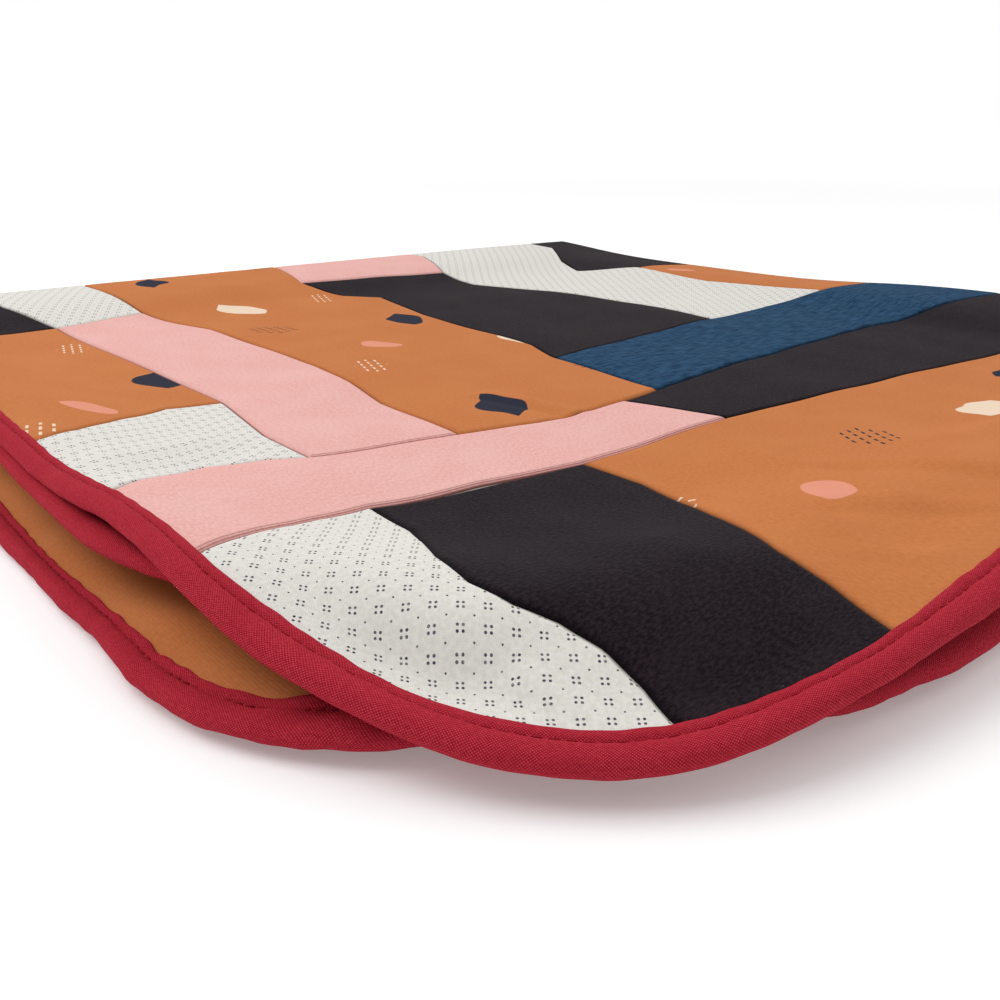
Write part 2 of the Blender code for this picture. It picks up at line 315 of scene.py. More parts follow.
# The patches' cloth. The ditch is how far their top lies below its full height near a seam
BACK_TOP = 0.00010
PATCH_BOTTOM = 0.00020
SEAM_HALF_GAP = 0.00004
BORDER_LINES = (0.0, 0.0003, 0.0007, 0.0013, 0.0024)
LIFT_END = 0.47
LIFT_FADE = 0.03
LIFT_IN_DITCH = 0.4
MOST_SHIFT = 0.4
DITCH_DEPTH = 0.00075
DITCH_REACH = 0.0013
PUFF_HEIGHT = 0.00012
PUFF_REACH = 0.012
HIDDEN_INSET = 0.0036
FAR_AWAY = 1.0
LIP_FADE_START = 0.0095
LIP_FADE_END = 0.0180
LIP_CLEARANCE = 0.00012

# Cell sizes of the cloth's meshes
FINE_CELL = 0.0016
TOP_CELL = 0.0030
PLAIN_CELL = 0.0080
FOLD_CELL = 0.0013
FINE_REACH = 0.25
FOLD_REACH_A = 0.016
FOLD_REACH_B = 0.011
LOWER_CORNER_START = 0.72
BACK_CELL = 0.0065
SAMPLES_ALONG = 400
SAMPLED_CROSSINGS = (0.0, 0.25, 0.5, 0.75, 1.0)

# The binding's front side, in from its outer edge and out from the cloth's middle, in millimetres. The groove
# of its stitching is near its inner lip
BINDING_FRONT = (
    (11.05, 1.50), (11.2, 1.78), (11.0, 2.04), (10.4, 2.16), (9.5, 2.18), (8.6, 2.06), (8.1, 1.80),
    (7.8, 1.66), (7.5, 1.80), (7.0, 2.20), (6.2, 2.48), (5.0, 2.56), (3.6, 2.54), (2.3, 2.36), (1.2, 1.92),
    (0.45, 1.24), (0.08, 0.55),
)
BINDING_SLOT = ((10.9, 1.38), (4.0, 1.38))
FACE_OUT_MM = 1.2
GROOVE_INSET = 0.0078
GROOVE_OUT = 0.00172
FINE_STATION = 0.0012
LOWER_STATION = 0.0022
PLAIN_STATION = 0.0050
PUCKER = 0.00014
LOWER_PUCKER = 0.00030
MOST_LIFT = 0.00040
PUCKER_LENGTHS = (0.0083, 0.0131, 0.0197, 0.0310)
PUCKER_BEAT = 9.3
LOWER_PUCKER_START = 0.18
LOWER_PUCKER_FADE = 0.12

# The stitches in the binding's groove
STITCH_PITCH = 0.0030
STITCH_LENGTH = 0.0021
STITCH_RADIUS = 0.00022
STITCH_SIDES = 6
STITCH_RINGS = ((-0.50, 0.35), (-0.38, 0.85), (0.0, 1.0), (0.38, 0.85), (0.50, 0.35))

# The camera in the pile's coordinates
CAMERA_PLACE = (-0.048989, -0.077514, 0.103)
CAMERA_HEADING = 39.7
CAMERA_DOWN = 21.3
CAMERA_LENS = 34.2
CAMERA_SENSOR = 36.0
CAMERA_NEAR = 0.01


def smoothstep(x):
    x = np.clip(x, 0.0, 1.0)
    return x * x * (3.0 - 2.0 * x)


def slide(layer, a, b):
    """How far a point of a layer has slipped in the pile, along A and along B."""
    row = LAYERS[layer]
    fade = (1.0 - np.clip(a / FOLD_A, 0.0, 1.0) ** 2) * (1.0 - np.clip(b / FOLD_B, 0.0, 1.0) ** 2)
    near = np.exp(-((a - CORNER_PULL_A) ** 2 + (b - CORNER_PULL_B) ** 2) / (2.0 * CORNER_PULL_REACH**2))
    pull = row["corner_pull"] * near * math.sqrt(0.5)
    return row["along_a"] * fade + pull, row["along_b"] * fade + pull


def corner_inset(a, b):
    """Distance in from the edges A=0 and B=0 and the round corner between them."""
    round_part = CORNER_RADIUS - np.hypot(CORNER_RADIUS - a, CORNER_RADIUS - b)
    in_corner = (a < CORNER_RADIUS) & (b < CORNER_RADIUS)
    return np.where(in_corner, round_part, np.minimum(a, b))


def spread(field, reach, blur):
    """The field's highest values within reach, then blurred: cloth bridges what it can't follow."""
    steps = round(reach / GRID_STEP)
    for axis in (0, 1):
        field = np.max([np.roll(field, s, axis) for s in range(-steps, steps + 1)], axis=0)
    span = math.ceil(3.0 * blur / GRID_STEP)
    weights = np.exp(-0.5 * (np.arange(-span, span + 1) * GRID_STEP / blur) ** 2)
    weights /= weights.sum()
    for axis in (0, 1):
        padded = np.pad(field, [(span, span) if axis == i else (0, 0) for i in (0, 1)], mode="edge")
        size = field.shape[axis]
        field = sum(w * padded.take(range(i, i + size), axis) for i, w in enumerate(weights))
    return field


def turned(x, y, degrees):
    """The parts of flat offsets along a heading and to the left of it."""
    cos = math.cos(math.radians(degrees))
    sin = math.sin(math.radians(degrees))
    return x * cos + y * sin, y * cos - x * sin


def swell(row, a, b):
    along, across = turned(a - row["a"], b - row["b"], row["heading"])
    return row["height"] * np.exp(-((along / row["length"]) ** 4) - (across / row["width"]) ** 2)


def settled_layers():
    """Heights of the four mid-surfaces over the grid, each layer laid on those under it."""
    ticks = GRID_START + GRID_STEP * np.arange(GRID_COUNT)
    a, b = np.meshgrid(ticks, ticks, indexing="ij")
    to_fold = np.minimum(FOLD_A - a, FOLD_B - b)
    at_fold = smoothstep((FOLD_ZONE - to_fold) / (FOLD_ZONE - FOLD_STRAIGHT))
    heights = []
    tops = []
    edges = []
    for layer, row in enumerate(LAYERS):
        slide_a, slide_b = slide(layer, a, b)
        edge = corner_inset(a - slide_a, b - slide_b)
        edges.append(edge)
        nearest = np.min(np.abs(edges), axis=0)
        gap = LAYER_GAP + (EDGE_GAP - LAYER_GAP) * smoothstep(2.0 - nearest / EDGE_GAP_REACH)
        half = np.where(edge < BINDING_WIDTH + THICK_MARGIN, BINDING_THICKNESS, CLOTH_THICKNESS) / 2.0
        need = half
        for top in tops:
            need = np.maximum(need, top + gap + half)
        height = spread(need, row["reach"], row["blur"])
        lowest = heights[0] if heights else height
        folded = lowest + layer * FOLD_PITCH
        height = height + (folded - height) * at_fold
        heights.append(height)
        tops.append(np.where(edge > -OVERHANG, height + half, 0.0))
    for row in SWELLS:
        for level in row["levels"]:
            heights[level] = heights[level] + swell(row, a, b)
    share = 1.0 + swell(PRESSED, a, b)
    pressed = [heights[0]]
    for under, over in zip(heights, heights[1:]):
        step = over - under
        pressed.append(pressed[-1] + np.maximum(step * share, np.minimum(step, LEAST_STEP)))
    return np.array(pressed)


HEIGHTS = settled_layers()


def spline_weights(f):
    return (
        (1.0 - f) ** 3 / 6.0,
        (3.0 * f**3 - 6.0 * f**2 + 4.0) / 6.0,
        (-3.0 * f**3 + 3.0 * f**2 + 3.0 * f + 1.0) / 6.0,
        f**3 / 6.0,
    )


def height_at(a, b, level):
    """Height at a place and a level, 0 in the bottom layer to 3 in the top one, by cubic splines."""
    found = 0.0
    x = (a - GRID_START) / GRID_STEP
    y = (b - GRID_START) / GRID_STEP
    column = np.clip(np.floor(x).astype(int), 1, GRID_COUNT - 3)
    rank = np.clip(np.floor(y).astype(int), 1, GRID_COUNT - 3)
    lower = np.clip(np.floor(level).astype(int), 0, 2)
    part = level - lower
    for i, weight_x in enumerate(spline_weights(x - column)):
        for j, weight_y in enumerate(spline_weights(y - rank)):
            under = HEIGHTS[lower, column + i - 1, rank + j - 1]
            over = HEIGHTS[lower + 1, column + i - 1, rank + j - 1]
            found = found + weight_x * weight_y * (under * (1.0 - part) + over * part)
    return found


def undulation_waves():
    rng = np.random.default_rng(4)
    headings = rng.uniform(0.0, math.pi, UNDULATION_WAVES)
    lengths = UNDULATION_LENGTH * rng.uniform(*UNDULATION_RANGE, UNDULATION_WAVES)
    phases = rng.uniform(0.0, 2.0 * math.pi, UNDULATION_WAVES)
    return list(zip(headings, lengths, phases))


WAVES = undulation_waves()


def relief(u, v):
    """Creases and soft waves of the top layer, as heights over the settled cloth."""
    a = u + SIDE / 2
    b = v + SIDE / 2
    found = np.zeros_like(a)
    for row in CREASES:
        start_a, end_a = (x * CENTIMETRE for x in row["a"])
        start_b, end_b = (x * CENTIMETRE for x in row["b"])
        length = math.hypot(end_a - start_a, end_b - start_b)
        heading_a = (end_a - start_a) / length
        heading_b = (end_b - start_b) / length
        along = (a - start_a) * heading_a + (b - start_b) * heading_b
        across = (b - start_b) * heading_a - (a - start_a) * heading_b
        past_end = np.maximum(np.abs(along - length / 2) - length / 2, 0.0)
        found += row["height"] * np.exp(-(across**2 + past_end**2) / row["width"] ** 2)
    for heading, length, phase in WAVES:
        along = a * math.cos(heading) + b * math.sin(heading)
        found += UNDULATION / math.sqrt(UNDULATION_WAVES) * np.sin(2.0 * math.pi * along / length + phase)
    inset = corner_inset(a, b)
    off_edge = smoothstep((inset - RELIEF_START) / RELIEF_FADE)
    found = found * off_edge
    for row in SAGS:
        along, across = turned(a - row["a"] * CENTIMETRE, b - row["b"] * CENTIMETRE, row["heading"])
        found += row["height"] * np.exp(-((along / row["length"]) ** 2) - (across / row["width"]) ** 2)
    from_tip = np.hypot(a - HOLLOW_A, b - HOLLOW_B) / HOLLOW_REACH
    found -= HOLLOW_DEPTH * np.exp(-(((inset - HOLLOW_INSET) / HOLLOW_WIDTH) ** 2) - from_tip**4)
    on_top = smoothstep((RELIEF_END - a) / RELIEF_END_FADE) * smoothstep((RELIEF_END - b) / RELIEF_END_FADE)
    return found * on_top


def middle(u, v):
    """Where the open blanket's point (u, v) lies in the pile. u and v run from -SIDE/2 to SIDE/2."""
    half_pitch = FOLD_PITCH / 2.0
    first_turn = np.clip(v / half_pitch, -math.pi / 2, math.pi / 2)
    b = FOLD_B + half_pitch * np.cos(first_turn) - np.maximum(np.abs(v) - half_pitch * math.pi / 2, 0.0)
    above = -half_pitch * np.sin(first_turn)
    last_turn = np.clip(u / FOLD_PITCH, -math.pi / 2, math.pi / 2)
    radius = FOLD_PITCH + above
    a = FOLD_A + radius * np.cos(last_turn) - np.maximum(np.abs(u) - FOLD_PITCH * math.pi / 2, 0.0)
    level = 1.5 - radius * np.sin(last_turn) / FOLD_PITCH
    lower = np.clip(np.floor(level).astype(int), 0, 2)
    part = level - lower
    slides = zip(*(slide(layer, a, b) for layer in range(len(LAYERS))))
    slide_a, slide_b = (np.choose(lower, by) * (1 - part) + np.choose(lower + 1, by) * part for by in slides)
    a = a + slide_a
    b = b + slide_b
    height = height_at(a, b, np.clip(level, 0.0, 3.0)) + relief(u, v)
    return np.stack([a, b, height], axis=-1)


def pile_origin():
    """The row frame's origin in the pile's coordinates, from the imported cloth's box."""
    lowest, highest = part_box("blanket_cloth")
    reach_a = FOLD_A + 1.5 * FOLD_PITCH + CLOTH_THICKNESS / 2
    reach_b = FOLD_B + FOLD_PITCH / 2 + CLOTH_THICKNESS / 2
    under = middle(np.array([0.25]), np.array([-0.25]))[0, 2] - CLOTH_THICKNESS / 2
    return np.array([reach_a - highest.x, reach_b - highest.y, under - lowest.z])


ORIGIN = pile_origin()


def surface(u, v):
    """Points of the cloth's middle in the row frame, and its normals on the patchwork side."""
    here = middle(u, v)
    along_u = middle(u + SLOPE_STEP, v) - middle(u - SLOPE_STEP, v)
    along_v = middle(u, v + SLOPE_STEP) - middle(u, v - SLOPE_STEP)
    normal = np.cross(along_u, along_v)
    normal /= np.linalg.norm(normal, axis=-1, keepdims=True)
    return here - ORIGIN, normal


def add_object(name, data):
    made = bpy.data.objects.new(name, data)
    bpy.context.scene.collection.objects.link(made)
    return made


def make_piece(name, points, faces, material, uv=None, distances=()):
    """A smooth mesh object that rides on the body. uv has a row for each point, or for each face corner.

    distances are pairs of an attribute's name and its values at the points.
    """
    mesh = bpy.data.meshes.new(name)
    mesh.from_pydata(points.tolist(), [], faces)
    mesh.materials.append(material)
    if uv is not None:
        corners = np.empty(len(mesh.loops), np.int32)
        mesh.loops.foreach_get("vertex_index", corners)
        layer = mesh.uv_layers.new(name="cloth")
        by_corner = uv if len(uv) == len(corners) else uv[corners]
        layer.data.foreach_set("uv", by_corner.astype(np.float32).ravel())
    for key, values in distances:
        attribute = mesh.attributes.new(key, "FLOAT", "POINT")
        attribute.data.foreach_set("value", values.astype(np.float32))
    mesh.shade_smooth()
    made = add_object(name, mesh)
    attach(made, "root")
    return made


# The cloth's meshes


def grid_cells(shape):
    """The four corners of each cell of a grid of points."""
    index = np.arange(shape[0] * shape[1]).reshape(shape)
    return np.stack([index[:-1, :-1], index[1:, :-1], index[1:, 1:], index[:-1, 1:]], axis=-1).reshape(-1, 4)


def closed_body(upper, lower, cells):
    """Points and faces of a closed body with the cells on both its sides."""
    total = len(upper)
    faces = cells.tolist()
    faces += (cells[:, ::-1] + total).tolist()
    edges = np.concatenate([cells[:, [i, (i + 1) % 4]] for i in range(4)])
    keys = np.sort(edges, axis=1)
    _, index, count = np.unique(keys, axis=0, return_inverse=True, return_counts=True)
    for start, end in edges[count[index.ravel()] == 1].tolist():
        faces.append((start, start + total, end + total, end))
    return np.concatenate([upper, lower]), faces


def without_unused(cells, *rows):
    """The cells and the rows of their points, with the points that no cell uses left out."""
    used, index = np.unique(cells, return_inverse=True)
    return (index.reshape(cells.shape), *(row[used] for row in rows))


def rail_point(rail, share):
    """Points at shares from 0 to 1 of a rail's length."""
    rail = np.array(rail) * CENTIMETRE
    lengths = np.concatenate([[0.0], np.cumsum(np.hypot(*np.diff(rail, axis=0).T))])
    at = share * lengths[-1]
    return np.stack([np.interp(at, lengths, rail[:, axis]) for axis in (0, 1)], axis=-1)


def net_point(rails, share_along, share_across):
    """Points between the rails."""
    at = share_across * (len(rails) - 1)
    first = np.clip(np.floor(at).astype(int), 0, len(rails) - 2)
    part = (at - first)[..., None]
    on_rails = np.stack([rail_point(rail, share_along) for rail in rails])
    pick = np.indices(first.shape)
    return on_rails[(first, *pick)] * (1.0 - part) + on_rails[(first + 1, *pick)] * part


def cell_size(point, along_a):
    """The spacing of mesh lines at a flat place, for lines that follow each other along A or along B."""
    a, b = point
    crossing = a if along_a else b
    reach = FOLD_REACH_A if along_a else FOLD_REACH_B
    if abs(crossing - SIDE / 2) < reach:
        return FOLD_CELL
    if max(a, b) < FINE_REACH:
        return FINE_CELL
    if max(a, b) < SIDE / 2 or min(a, b) > LOWER_CORNER_START:
        return TOP_CELL
    return PLAIN_CELL


def mesh_lines(rows):
    """Shares from 0 to 1 for mesh lines, by the finest need along rows of points: close at both ends."""
    halfway = rows[len(rows) // 2]
    length = np.hypot(*np.diff(halfway, axis=0).T).sum()
    reach = halfway[-1] - halfway[0]
    along_a = abs(reach[0]) > abs(reach[1])
    last = len(halfway) - 1
    at = BORDER_LINES[-1]
    places = [at]
    while at < length - BORDER_LINES[-1]:
        near = round(at / length * last)
        at += min(cell_size(row[near], along_a) for row in rows)
        places.append(at)
    inner = np.array(places)
    span = length - 2.0 * BORDER_LINES[-1]
    inner = BORDER_LINES[-1] + (inner - inner[0]) * span / (inner[-1] - inner[0])
    head = np.array(BORDER_LINES[:-1])
    return np.concatenate([head, inner, length - head[::-1]]) / length


def keep_inside(flat):
    """Flat places moved in to where the binding hides them, and how far in they were from the edge."""
    mirrored = np.where(flat > SIDE / 2, SIDE - flat, flat)
    inset = corner_inset(mirrored[..., 0], mirrored[..., 1])
    centre = CORNER_RADIUS
    away = mirrored - centre
    distance = np.maximum(np.hypot(away[..., 0], away[..., 1]), 1e-9)
    in_corner = (mirrored < CORNER_RADIUS).all(axis=-1)
    pulled = centre + away * (np.minimum(distance, CORNER_RADIUS - HIDDEN_INSET) / distance)[..., None]
    moved = np.where(in_corner[..., None], pulled, np.maximum(mirrored, HIDDEN_INSET))
    return np.where(flat > SIDE / 2, SIDE - moved, moved), inset


def patch_mesh(row, shift):
    """One patch: the points of its two sides, its cells, its cloth coordinates and its border distances."""
    rails = row["rails"]
    even = np.linspace(0.0, 1.0, SAMPLES_ALONG)
    crossings = [np.full_like(even, share) for share in SAMPLED_CROSSINGS]
    shares_along = mesh_lines([net_point(rails, even, crossing) for crossing in crossings])
    shares_across = mesh_lines([net_point(rails, crossing, even) for crossing in crossings])
    along, across = np.meshgrid(shares_along, shares_across, indexing="ij")
    flat = net_point(rails, along, across)
    sides = {"start": flat[:1], "end": flat[-1:], "first": flat[:, :1], "last": flat[:, -1:]}
    away = {name: np.hypot(*(flat - side).transpose(2, 0, 1)) for name, side in sides.items()}
    border = np.min(list(away.values()), axis=0)
    ridge = away.get(row["ridge"], np.full_like(border, FAR_AWAY))
    centre = flat.mean(axis=(0, 1))
    towards = centre - flat
    towards /= np.maximum(np.linalg.norm(towards, axis=-1, keepdims=True), 1e-9)
    flat = flat + towards * SEAM_HALF_GAP
    flat, inset = keep_inside(flat)
    cells = grid_cells(along.shape)
    flat = flat.reshape(-1, 2)
    inset = inset.ravel()
    border = border.ravel()
    ridge = ridge.ravel()
    cells = cells[(inset[cells] > HIDDEN_INSET).any(axis=1)]
    area = np.cross(flat[cells[:, 1]] - flat[cells[:, 0]], flat[cells[:, 3]] - flat[cells[:, 0]]).sum()
    if area < 0:
        cells = cells[:, ::-1]
    cells, flat, inset, border, ridge = without_unused(cells, flat, inset, border, ridge)
    on_top = smoothstep((LIFT_END - flat[:, 0]) / LIFT_FADE) * smoothstep((LIFT_END - flat[:, 1]) / LIFT_FADE)
    clear_of_lip = smoothstep((inset - LIP_FADE_START) / (LIP_FADE_END - LIP_FADE_START))
    lift = row["lift"] * MILLIMETRE * on_top
    height = lift + PUFF_HEIGHT * smoothstep(border / PUFF_REACH) * on_top
    ditch = (DITCH_DEPTH + lift * LIFT_IN_DITCH) * (1.0 - smoothstep(border / DITCH_REACH))
    out = CLOTH_THICKNESS / 2 + height * clear_of_lip - LIP_CLEARANCE * (1.0 - clear_of_lip) - ditch
    places, normals = surface(flat[:, 0] - SIDE / 2, flat[:, 1] - SIDE / 2)
    upper = places + normals * out[:, None]
    lower = places + normals * PATCH_BOTTOM
    uv = np.stack(turned(flat[:, 0], flat[:, 1], row["turn"]), axis=-1)
    return upper, lower, cells, uv + shift, border, ridge


def block_rows():
    """The straight patches in the same form as the others."""
    for number, row in enumerate(BLOCKS):
        (start_a, end_a), (start_b, end_b) = row["a"], row["b"]
        near = ((start_a, start_b), (end_a, start_b))
        far = ((start_a, end_b), (end_a, end_b))
        yield patch(row["fabric"], 0.0, 90 * (number % 2), near, far)


def make_patches(fabric, material):
    """All the patches of one fabric as one piece."""
    rng = np.random.default_rng(11)
    faces = []
    made = []
    total = 0
    for row in (*PATCHES, *block_rows()):
        shift = rng.uniform(0.0, MOST_SHIFT, 2)
        if row["fabric"] != fabric:
            continue
        upper, lower, cells, *values = patch_mesh(row, shift)
        points, sides = closed_body(upper, lower, cells)
        faces += [tuple(index + total for index in face) for face in sides]
        made.append([points, *(np.concatenate([value, value]) for value in values)])
        total += len(points)
    points, uv, border, ridge = (np.concatenate(column) for column in zip(*made))
    distances = (("border", border), ("ridge", ridge))
    return make_piece(f"patches_{fabric}", points, faces, material, uv, distances)


def back_lines(reach):
    """Lines of the backing's grid from one edge to the other, close together across a fold."""
    half = list(np.arange(0.0, reach, FOLD_CELL))
    half += list(np.linspace(half[-1] + FOLD_CELL, SIDE / 2, round(SIDE / 2 / BACK_CELL)))
    return np.array([-x for x in reversed(half[1:])] + half)


def make_backing(material):
    """The blanket's back, one whole sheet under the patches."""
    lines_u = back_lines(FOLD_REACH_A)
    lines_v = back_lines(FOLD_REACH_B)
    u, v = np.meshgrid(lines_u, lines_v, indexing="ij")
    flat = np.stack([u, v], axis=-1) + SIDE / 2
    flat, inset = keep_inside(flat)
    cells = grid_cells(u.shape)
    cells = cells[(inset.ravel()[cells] > HIDDEN_INSET).any(axis=1)]
    cells, flat = without_unused(cells, flat.reshape(-1, 2))
    places, normals = surface(flat[:, 0] - SIDE / 2, flat[:, 1] - SIDE / 2)
    upper = places + normals * BACK_TOP
    lower = places - normals * CLOTH_THICKNESS / 2
    points, faces = closed_body(upper, lower, cells)
    return make_piece("cloth_back", points, faces, material, np.concatenate([flat, flat]))


# The binding and its stitches

STRAIGHT = SIDE - 2.0 * CORNER_RADIUS
QUARTER = STRAIGHT + CORNER_RADIUS * math.pi / 2


def edge_at(distance):
    """Places on the open blanket's outer edge at distances round it, and the ways out there."""
    quarter = np.floor(distance / QUARTER)
    local = distance - quarter * QUARTER
    angle = np.maximum(local - STRAIGHT, 0.0) / CORNER_RADIUS - math.pi / 2
    straight = np.minimum(local, STRAIGHT) - STRAIGHT / 2
    centre = STRAIGHT / 2
    u = np.where(local < STRAIGHT, straight, centre + CORNER_RADIUS * np.cos(angle))
    v = np.where(local < STRAIGHT, -SIDE / 2, -centre + CORNER_RADIUS * np.sin(angle))
    out_u = np.cos(angle)
    out_v = np.sin(angle)
    turn = quarter * math.pi / 2
    cos, sin = np.cos(turn), np.sin(turn)
    return u * cos - v * sin, u * sin + v * cos, out_u * cos - out_v * sin, out_u * sin + out_v * cos


def inside_edge(inset, edge_u, edge_v, out_u, out_v):
    """Points of the cloth's middle at an inset from its edge, and its normals there."""
    return surface(edge_u - inset * out_u, edge_v - inset * out_v)


def band_inset(inset_mm, edge_u, edge_v, *_):
    """The inset in metres at which a place of the profile lies, where the binding is narrower."""
    inner = np.zeros_like(edge_u)
    outer = np.zeros_like(edge_u)
    for row in TRIMS:
        away = np.hypot(edge_u + SIDE / 2 - row["a"] * CENTIMETRE, edge_v + SIDE / 2 - row["b"] * CENTIMETRE)
        near = np.exp(-((away / (row["reach"] * CENTIMETRE)) ** 4))
        inner = inner + row["inner"] * near
        outer = outer + row["outer"] * near
    width = BINDING_WIDTH / MILLIMETRE * BAND_SHARE - inner - outer
    return (outer + inset_mm * MILLIMETRE / BINDING_WIDTH * width) * MILLIMETRE


def wrinkles(distance, girth):
    """Soft slanting wrinkles of the binding at the third layer's round corner."""
    centre = QUARTER + STRAIGHT + WRINKLE_CENTRE * (QUARTER - STRAIGHT)
    near = np.exp(-(((distance - centre) / WRINKLE_REACH) ** 2))
    wave = np.sin(2.0 * math.pi * ((distance - centre) / WRINKLE_LENGTH + girth / WRINKLE_LEAN))
    return WRINKLE_DEPTH * near * wave * (0.6 + 0.4 * np.sin(distance / WRINKLE_LENGTH * WRINKLE_BEAT))


def station_step(u, v):
    if abs(u) < FOLD_REACH_A or abs(v) < FOLD_REACH_B:
        return FINE_STATION
    if max(u, v) < FINE_REACH - SIDE / 2:
        return FINE_STATION
    if min(u, v) > LOWER_CORNER_START - SIDE / 2:
        return LOWER_STATION
    return PLAIN_STATION


def edge_stations():
    """Distances round the edge at which the binding's rings stand."""
    length = 4.0 * QUARTER
    at = 0.0
    places = []
    while at < length:
        places.append(at)
        u, v, _, _ = edge_at(np.array([at]))
        at += station_step(u[0], v[0])
    return np.array(places) * length / at


def puckers(distance, seed):
    """Uneven short waves along the binding, about -1 to 1, which meet themselves where it closes."""
    rng = np.random.default_rng(seed)
    length = 4.0 * QUARTER
    found = np.zeros_like(distance)
    for wave in PUCKER_LENGTHS:
        turns = round(length / wave)
        beat = round(length / (wave * PUCKER_BEAT))
        phase, beat_phase = rng.uniform(0.0, 2.0 * math.pi, 2)
        strength = 0.5 + 0.5 * np.sin(2.0 * math.pi * beat * distance / length + beat_phase)
        found += strength * np.sin(2.0 * math.pi * turns * distance / length + phase)
    return found / 2.0


def make_binding(material):
    """The binding as one closed band with its stitched groove, puckered a little along its length."""
    distance = edge_stations()
    edge = edge_at(distance)
    at_lower_corner = 1.0
    for place in edge[:2]:
        at_lower_corner = at_lower_corner * smoothstep((place - LOWER_PUCKER_START) / LOWER_PUCKER_FADE)
    swing = PUCKER + (LOWER_PUCKER - PUCKER) * at_lower_corner
    front = [(inset, out, 1.0) for inset, out in BINDING_FRONT]
    back = [(inset, -out, 1.0) for inset, out in reversed(BINDING_FRONT)]
    slot = [(inset, -out, 0.0) for inset, out in BINDING_SLOT]
    slot += [(inset, out, 0.0) for inset, out in reversed(BINDING_SLOT)]
    profile = front + [(0.0, 0.0, 1.0)] + back + slot
    rings = []
    girths = []
    girth = 0.0
    before = profile[0]
    for number, (inset_mm, out_mm, loose) in enumerate(profile):
        girth += math.hypot(inset_mm - before[0], out_mm - before[1]) * MILLIMETRE
        before = (inset_mm, out_mm)
        share = inset_mm * MILLIMETRE / BINDING_WIDTH
        wave = puckers(distance, 3) * (1.0 - 0.6 * share) + puckers(distance, 8) * 0.8 * share
        inset = band_inset(inset_mm, *edge)
        inset = inset - loose * swing * puckers(distance, 5) * (0.6 + 0.8 * share)
        on_face = min(abs(out_mm) / FACE_OUT_MM, 1.0)
        lift = loose * on_face * np.minimum(swing * wave, MOST_LIFT)
        if out_mm > 0:
            lift = lift + loose * on_face * wrinkles(distance, girth)
        out = out_mm * MILLIMETRE + math.copysign(1.0, out_mm) * lift
        places, normals = inside_edge(inset, *edge)
        rings.append(places + normals * out[:, None])
        girths.append(girth)
    stations = len(distance)
    sides = len(profile)
    side = np.repeat(np.arange(sides), stations)
    station = np.tile(np.arange(stations), sides)
    beside = (side + 1) % sides
    after = (station + 1) % stations
    cells = np.stack(
        [
            side * stations + station,
            beside * stations + station,
            beside * stations + after,
            side * stations + after,
        ],
        axis=-1,
    )
    step = np.diff(distance, append=4.0 * QUARTER)
    along = np.stack([distance[station]] * 2 + [distance[station] + step[station]] * 2, axis=-1)
    girths = np.array([*girths, girth + (BINDING_SLOT[-1][1] - BINDING_SLOT[0][1]) * MILLIMETRE])
    round_it = np.stack([girths[side], girths[side + 1], girths[side + 1], girths[side]], axis=-1)
    uv = np.stack([along, round_it], axis=-1).reshape(-1, 2)
    return make_piece("binding_band", np.concatenate(rings), cells.tolist(), material, uv)


def make_stitches(material):
    """The row of stitches in the binding's groove, each a small capsule."""
    length = 4.0 * QUARTER
    count = round(length / STITCH_PITCH)
    centres = (np.arange(count) + 0.5) * length / count
    points = []
    for share, width in STITCH_RINGS:
        distance = centres + share * STITCH_LENGTH
        edge = edge_at(distance % length)
        inset = band_inset(GROOVE_INSET / MILLIMETRE, *edge)
        places, normals = inside_edge(inset, *edge)
        nearby, _ = inside_edge(inset - SLOPE_STEP, *edge)
        sideways = nearby - places
        sideways /= np.linalg.norm(sideways, axis=-1, keepdims=True)
        for number in range(STITCH_SIDES):
            angle = 2.0 * math.pi * number / STITCH_SIDES
            across = STITCH_RADIUS * width * math.cos(angle)
            out = GROOVE_OUT + STITCH_RADIUS * width * math.sin(angle)
            points.append(places + sideways * across + normals * out)
    corner = np.arange(len(STITCH_RINGS) * STITCH_SIDES).reshape(-1, STITCH_SIDES)
    one = []
    for ring, next_ring in zip(corner, corner[1:]):
        for number in range(STITCH_SIDES):
            after = (number + 1) % STITCH_SIDES
            one.append((ring[number], ring[after], next_ring[after], next_ring[number]))
    one.append(tuple(reversed(corner[0])))
    one.append(tuple(corner[-1]))
    faces = [
        tuple(int(index) * count + stitch for index in face) for stitch in range(count) for face in one
    ]
    return make_piece("binding_stitches", np.concatenate(points), faces, material)


# Materials

LIGHT_LEVEL = 1.08
CLOTH_SPECULAR = 0.05
SHEEN_ROUGHNESS = 0.45
NEAR_GLOW = 0.20
FAR_GLOW = 0.55


def linear(red, green, blue):
    """The cloth's own colour where it looks like this on a screen, 0 to 255, in the studio's light."""
    shares = [value / 255.0 for value in (red, green, blue)]
    return (*(((s + 0.055) / 1.055) ** 2.4 / LIGHT_LEVEL for s in shares), 1.0)


